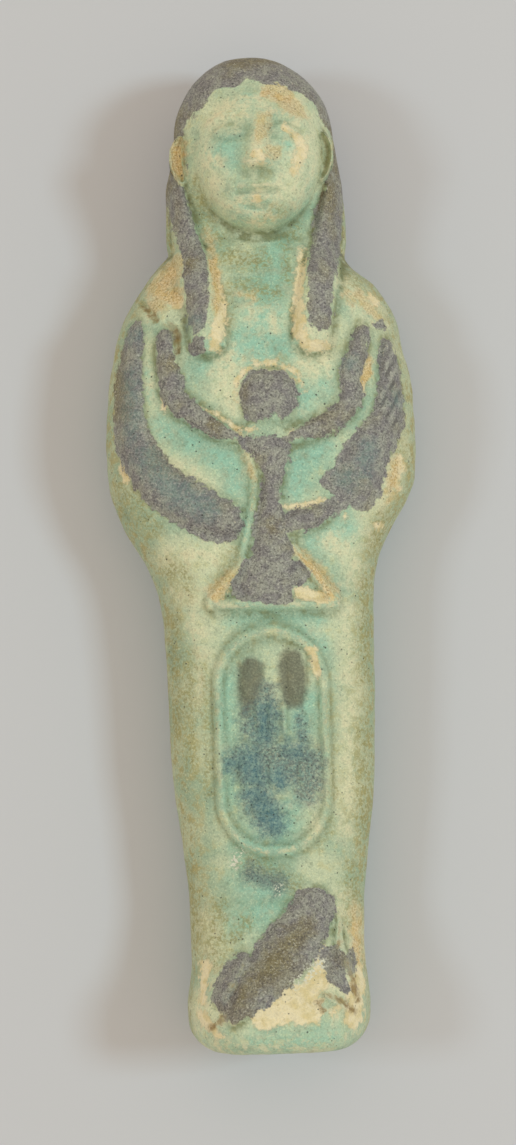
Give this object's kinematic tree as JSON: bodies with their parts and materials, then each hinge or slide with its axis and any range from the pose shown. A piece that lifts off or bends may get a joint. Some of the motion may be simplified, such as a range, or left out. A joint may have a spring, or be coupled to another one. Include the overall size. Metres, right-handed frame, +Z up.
{
  "type": "ushabti figurine",
  "caption": "Mould-made faience funerary figurine lying on its flat back, with wig, raised winged figure, name ring and bird in low relief",
  "frame": {"origin": "on the surface that the figurine lies on, under the middle of its length and width", "axes": "+Y to the crown of the head, +X to the figure's own left side, +Z up out of its front"},
  "size_m": [0.0506, 0.16, 0.0291],
  "materials": {
    "faience": "weathered pale blue-green glaze, matt, with dark painted areas and bare buff patches"
  },
  "bodies": {
    "root": {"ushabti_figure": "faience"}
  },
  "joints": []
}
